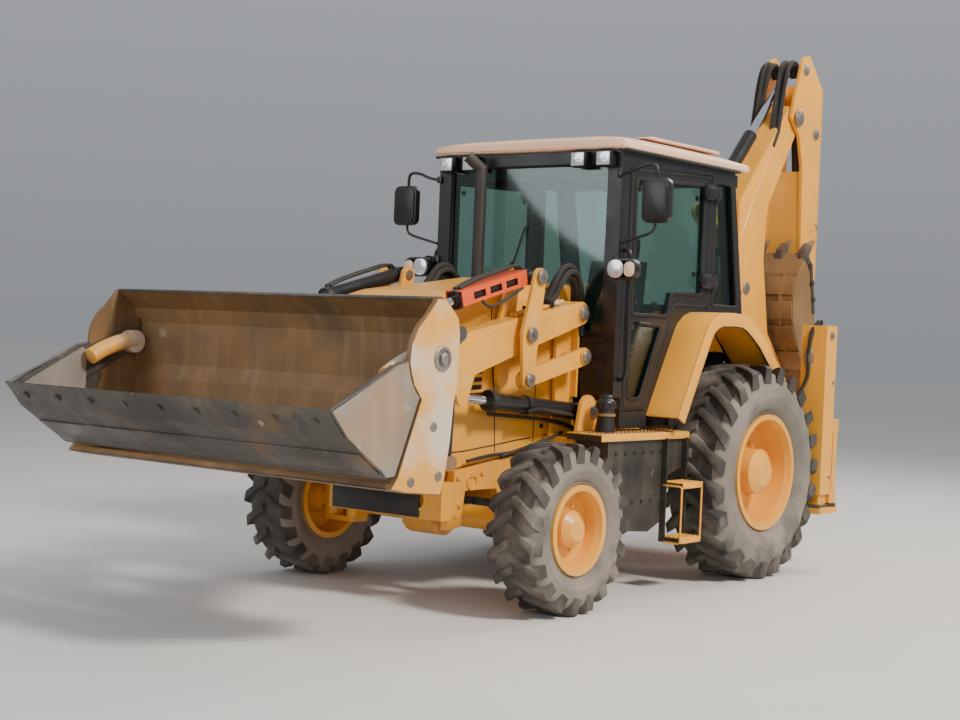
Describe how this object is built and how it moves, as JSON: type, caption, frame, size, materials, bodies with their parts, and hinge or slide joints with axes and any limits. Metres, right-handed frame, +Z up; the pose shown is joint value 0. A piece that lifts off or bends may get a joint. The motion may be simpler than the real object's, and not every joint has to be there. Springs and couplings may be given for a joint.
{
  "type": "backhoe loader",
  "caption": "Wheeled tractor with a glazed cab, a parallel-lift front loader with an opening bucket, and a side-shift backhoe folded upright behind it.",
  "frame": {"origin": "on the ground, at the middle of the machine's bounding box", "axes": "+X forward to the loader bucket, +Y to the machine's left, +Z up"},
  "size_m": [6.213, 2.41, 3.735],
  "materials": {
    "yellow_paint": "semi-gloss, dusty",
    "black_paint": "satin",
    "orange_paint": "satin",
    "tyre_rubber": "dusty matt",
    "ram_chrome": "polished",
    "worn_steel": "worn",
    "rusty_steel": "rusty and soiled",
    "cab_glass": "clear",
    "seat_fabric": "matt"
  },
  "bodies": {
    "chassis": {"main_frame": "yellow_paint", "engine": "rusty_steel", "axles": "yellow_paint", "rear_fenders": "yellow_paint", "cab_frame": "black_paint", "cab_roof": "yellow_paint", "cab_glass": "cab_glass", "cab_floor": "black_paint", "seat": "seat_fabric", "side_tanks": "black_paint", "cab_fittings": "black_paint", "rear_frame": "yellow_paint"},
    "hood": {"hood": "yellow_paint"},
    "door_left": {"door_left": "black_paint", "door_left_glass": "cab_glass"},
    "door_right": {"door_right": "black_paint", "door_right_glass": "cab_glass"},
    "knuckle_left": {"knuckle_left": "yellow_paint"},
    "knuckle_right": {"knuckle_right": "yellow_paint"},
    "wheel_front_left": {"tyre_front_left": "tyre_rubber", "rim_front_left": "yellow_paint"},
    "wheel_front_right": {"tyre_front_right": "tyre_rubber", "rim_front_right": "yellow_paint"},
    "wheel_rear_left": {"tyre_rear_left": "tyre_rubber", "rim_rear_left": "yellow_paint"},
    "wheel_rear_right": {"tyre_rear_right": "tyre_rubber", "rim_rear_right": "yellow_paint"},
    "arms": {"loader_arms": "yellow_paint"},
    "rear_levers": {"rear_levers": "yellow_paint"},
    "level_links": {"level_links": "yellow_paint"},
    "lift_barrels": {"lift_barrels": "black_paint"},
    "lift_rods": {"lift_rods": "ram_chrome"},
    "tilt_pins": {"tilt_pins": "worn_steel"},
    "tilt_barrels": {"tilt_barrels": "black_paint", "lift_lock": "orange_paint"},
    "tilt_rods": {"tilt_rods": "ram_chrome"},
    "lever_pins": {"lever_pins": "worn_steel"},
    "front_levers": {"front_levers": "yellow_paint"},
    "link_pins": {"link_pins": "worn_steel"},
    "bucket_links": {"bucket_links": "yellow_paint"},
    "bucket_pins": {"bucket_pins": "worn_steel"},
    "bucket": {"bucket_blade": "rusty_steel"},
    "jaw": {"bucket_jaw": "worn_steel"},
    "jaw_barrels": {"jaw_barrels": "black_paint"},
    "jaw_rods": {"jaw_rods": "ram_chrome"},
    "carriage": {"carriage": "yellow_paint"},
    "kingpost": {"kingpost": "yellow_paint"},
    "boom": {"boom": "yellow_paint"},
    "boom_barrel": {"boom_barrel": "black_paint"},
    "boom_rod": {"boom_rod": "ram_chrome"},
    "stick": {"stick": "yellow_paint"},
    "stick_barrel": {"stick_barrel": "black_paint"},
    "stick_rod": {"stick_rod": "ram_chrome"},
    "dig_barrel": {"dig_barrel": "black_paint"},
    "dig_rod": {"dig_rod": "ram_chrome"},
    "idler_link": {"idler_link": "yellow_paint"},
    "dig_link": {"dig_link": "yellow_paint"},
    "dig_bucket": {"dig_bucket": "rusty_steel"},
    "leg_left": {"leg_left": "yellow_paint"},
    "leg_right": {"leg_right": "yellow_paint"}
  },
  "joints": [
    {"name": "steer_left", "type": "hinge", "parent": "chassis", "child": "knuckle_left", "pos_m": [0.9415, 0.79, 0.478], "axis": [0, 0, 1], "range_deg": [-40, 40]},
    {"name": "steer_right", "type": "hinge", "parent": "chassis", "child": "knuckle_right", "pos_m": [0.9415, -0.79, 0.478], "axis": [0, 0, 1], "range_deg": [-40.05, 40.05]},
    {"name": "wheel_front_left", "type": "hinge", "parent": "knuckle_left", "child": "wheel_front_left", "pos_m": [0.9415, 0.9475, 0.478], "axis": [0, 1, 0], "continuous": true},
    {"name": "wheel_rear_left", "type": "hinge", "parent": "chassis", "child": "wheel_rear_left", "pos_m": [-1.2585, 0.857, 0.706], "axis": [0, 1, 0], "continuous": true},
    {"name": "wheel_front_right", "type": "hinge", "parent": "knuckle_right", "child": "wheel_front_right", "pos_m": [0.9415, -0.9475, 0.478], "axis": [0, 1, 0], "continuous": true},
    {"name": "wheel_rear_right", "type": "hinge", "parent": "chassis", "child": "wheel_rear_right", "pos_m": [-1.2585, -0.857, 0.706], "axis": [0, 1, 0], "continuous": true},
    {"name": "hood_lid", "type": "hinge", "parent": "chassis", "child": "hood", "pos_m": [0.2915, 0, 1.842], "axis": [0, -1, 0], "range_deg": [0, 50]},
    {"name": "door_swing_left", "type": "hinge", "parent": "chassis", "child": "door_left", "pos_m": [-0.9685, 0.752, 2], "axis": [0, 0, 1], "range_deg": [0, 80]},
    {"name": "door_swing_right", "type": "hinge", "parent": "chassis", "child": "door_right", "pos_m": [-0.9685, -0.752, 2], "axis": [0, 0, -1], "range_deg": [0, 80]},
    {"name": "loader_lift", "type": "hinge", "parent": "chassis", "child": "arms", "pos_m": [0.2415, 0, 1.694], "axis": [0, -1, 0], "range_deg": [-18.4, 79.1]},
    {"name": "lever_level", "type": "hinge", "parent": "arms", "child": "rear_levers", "pos_m": [0.8365, 0, 1.55], "axis": [0, -1, 0], "range_deg": [-79.15, 18.45]},
    {"name": "link_swing", "type": "hinge", "parent": "chassis", "child": "level_links", "pos_m": [0.2465, 0, 1.432], "axis": [0, -1, 0], "range_deg": [-18.45, 79.15]},
    {"name": "tilt_base_level", "type": "hinge", "parent": "rear_levers", "child": "tilt_pins", "pos_m": [0.7615, 0, 1.889], "axis": [0, -1, 0], "range_deg": [-18.45, 79.15]},
    {"name": "lever_pin_level", "type": "hinge", "parent": "arms", "child": "lever_pins", "pos_m": [1.7515, 0, 1.313], "axis": [0, -1, 0], "range_deg": [-79.15, 18.45]},
    {"name": "bucket_pin_level", "type": "hinge", "parent": "arms", "child": "bucket_pins", "pos_m": [2.2165, 0, 0.85], "axis": [0, -1, 0], "range_deg": [-79.15, 18.45]},
    {"name": "lift_barrel_swing", "type": "hinge", "parent": "chassis", "child": "lift_barrels", "pos_m": [0.1865, 0, 1.095], "axis": [0, -1, 0], "range_deg": [-13.99, 59.96]},
    {"name": "lift_rod_slide", "type": "slide", "parent": "lift_barrels", "child": "lift_rods", "axis": [0.9967, 0, 0.0809], "range_m": [-0.14076, 0.59852]},
    {"name": "bucket_tilt", "type": "hinge", "parent": "bucket_pins", "child": "bucket", "pos_m": [2.2165, 0, 0.85], "axis": [0, -1, 0], "range_deg": [-87, 0]},
    {"name": "front_lever_tilt", "type": "hinge", "parent": "lever_pins", "child": "front_levers", "pos_m": [1.7515, 0, 1.313], "axis": [0, -1, 0], "range_deg": [-87.05, 0.05]},
    {"name": "link_pin_tilt", "type": "hinge", "parent": "front_levers", "child": "link_pins", "pos_m": [1.6765, 0, 1.652], "axis": [0, -1, 0], "range_deg": [-0.05, 87.05]},
    {"name": "bucket_link_swing", "type": "hinge", "parent": "link_pins", "child": "bucket_links", "pos_m": [1.6765, 0, 1.652], "axis": [0, -1, 0], "range_deg": [-18.45, 79.15]},
    {"name": "tilt_barrel_swing", "type": "hinge", "parent": "tilt_pins", "child": "tilt_barrels", "pos_m": [0.7615, 0, 1.889], "axis": [0, -1, 0], "range_deg": [-5.58, 0.05]},
    {"name": "tilt_rod_slide", "type": "slide", "parent": "tilt_barrels", "child": "tilt_rods", "axis": [0.9681, 0, -0.2507], "range_m": [-0.002, 0.46685]},
    {"name": "jaw_open", "type": "hinge", "parent": "bucket", "child": "jaw", "pos_m": [2.3345, 0, 1.418], "axis": [0, -1, 0], "range_deg": [0, 60]},
    {"name": "jaw_barrel_swing", "type": "hinge", "parent": "bucket", "child": "jaw_barrels", "pos_m": [2.1415, 0, 0.9], "axis": [0, -1, 0], "range_deg": [-0.05, 1.38]},
    {"name": "jaw_rod_slide", "type": "slide", "parent": "jaw_barrels", "child": "jaw_rods", "axis": [-0.0365, 0, 0.9993], "range_m": [-0.25173, 0.002]},
    {"name": "side_shift", "type": "slide", "parent": "chassis", "child": "carriage", "axis": [0, 1, 0], "range_m": [-0.908, 0.268]},
    {"name": "swing", "type": "hinge", "parent": "carriage", "child": "kingpost", "pos_m": [-2.4285, 0.32, 0.75], "axis": [0, 0, 1], "range_deg": [-90, 90]},
    {"name": "boom_lift", "type": "hinge", "parent": "kingpost", "child": "boom", "pos_m": [-2.6535, 0.32, 0.65], "axis": [0, -1, 0], "range_deg": [0, 130]},
    {"name": "boom_barrel_swing", "type": "hinge", "parent": "kingpost", "child": "boom_barrel", "pos_m": [-2.4185, 0.32, 1.04], "axis": [0, -1, 0], "range_deg": [-0.05, 139.32]},
    {"name": "boom_rod_slide", "type": "slide", "parent": "boom_barrel", "child": "boom_rod", "axis": [0.4511, 0, 0.8925], "range_m": [-0.002, 0.79752]},
    {"name": "stick_swing", "type": "hinge", "parent": "boom", "child": "stick", "pos_m": [-2.5535, 0.32, 3.245], "axis": [0, 1, 0], "range_deg": [0, 120]},
    {"name": "stick_barrel_swing", "type": "hinge", "parent": "boom", "child": "stick_barrel", "pos_m": [-1.5435, 0.32, 2.47], "axis": [0, 1, 0], "range_deg": [-0.05, 6.95]},
    {"name": "stick_rod_slide", "type": "slide", "parent": "stick_barrel", "child": "stick_rod", "axis": [-0.6964, 0, 0.7176], "range_m": [-0.67649, 0.002]},
    {"name": "dig_bucket_swing", "type": "hinge", "parent": "stick", "child": "dig_bucket", "pos_m": [-2.8185, 0.32, 1.5], "axis": [0, 1, 0], "range_deg": [-0.05, 144.05]},
    {"name": "idler_swing", "type": "hinge", "parent": "stick", "child": "idler_link", "pos_m": [-2.7885, 0.32, 1.83], "axis": [0, 1, 0], "range_deg": [-0.05, 107.8]},
    {"name": "dig_link_swing", "type": "hinge", "parent": "idler_link", "child": "dig_link", "pos_m": [-3.0585, 0.32, 1.572], "axis": [0, 1, 0], "range_deg": [-80.74, 0.05]},
    {"name": "dig_barrel_swing", "type": "hinge", "parent": "stick", "child": "dig_barrel", "pos_m": [-2.8585, 0.32, 3.16], "axis": [0, 1, 0], "range_deg": [-0.05, 3.65]},
    {"name": "dig_rod_slide", "type": "slide", "parent": "dig_barrel", "child": "dig_rod", "axis": [-0.125, 0, -0.9922], "range_m": [-0.60397, 0.002]},
    {"name": "leg_slide_left", "type": "slide", "parent": "chassis", "child": "leg_left", "axis": [0, 0, -1], "range_m": [0, 0.5]},
    {"name": "leg_slide_right", "type": "slide", "parent": "chassis", "child": "leg_right", "axis": [0, 0, -1], "range_m": [0, 0.5]}
  ],
  "couplings": [
    {"joint": "steer_right", "follows": "steer_left", "ratio": 1},
    {"joint": "lever_level", "follows": "loader_lift", "ratio": -1},
    {"joint": "link_swing", "follows": "loader_lift", "ratio": 1},
    {"joint": "tilt_base_level", "follows": "loader_lift", "ratio": 1},
    {"joint": "lever_pin_level", "follows": "loader_lift", "ratio": -1},
    {"joint": "bucket_pin_level", "follows": "loader_lift", "ratio": -1},
    {"joint": "lift_barrel_swing", "follows": "loader_lift", "ratio": 0.75738},
    {"joint": "lift_rod_slide", "follows": "loader_lift", "m_per_rad": 0.43208},
    {"joint": "front_lever_tilt", "follows": "bucket_tilt", "ratio": 1},
    {"joint": "link_pin_tilt", "follows": "bucket_tilt", "ratio": -1},
    {"joint": "bucket_link_swing", "follows": "loader_lift", "ratio": 1},
    {"joint": "tilt_barrel_swing", "follows": "bucket_tilt", "ratio": 0.063517},
    {"joint": "tilt_rod_slide", "follows": "bucket_tilt", "m_per_rad": -0.30614},
    {"joint": "jaw_barrel_swing", "follows": "jaw_open", "ratio": 0.022155},
    {"joint": "jaw_rod_slide", "follows": "jaw_open", "m_per_rad": -0.23847},
    {"joint": "boom_barrel_swing", "follows": "boom_lift", "ratio": 1.0713},
    {"joint": "boom_rod_slide", "follows": "boom_lift", "m_per_rad": 0.35062},
    {"joint": "stick_barrel_swing", "follows": "stick_swing", "ratio": 0.0575},
    {"joint": "stick_rod_slide", "follows": "stick_swing", "m_per_rad": -0.32205},
    {"joint": "dig_bucket_swing", "follows": "stick_swing", "ratio": 1.2},
    {"joint": "idler_swing", "follows": "stick_swing", "ratio": 0.89793},
    {"joint": "dig_link_swing", "follows": "stick_swing", "ratio": -0.6724},
    {"joint": "dig_barrel_swing", "follows": "stick_swing", "ratio": 0.03},
    {"joint": "dig_rod_slide", "follows": "stick_swing", "m_per_rad": -0.28742}
  ]
}
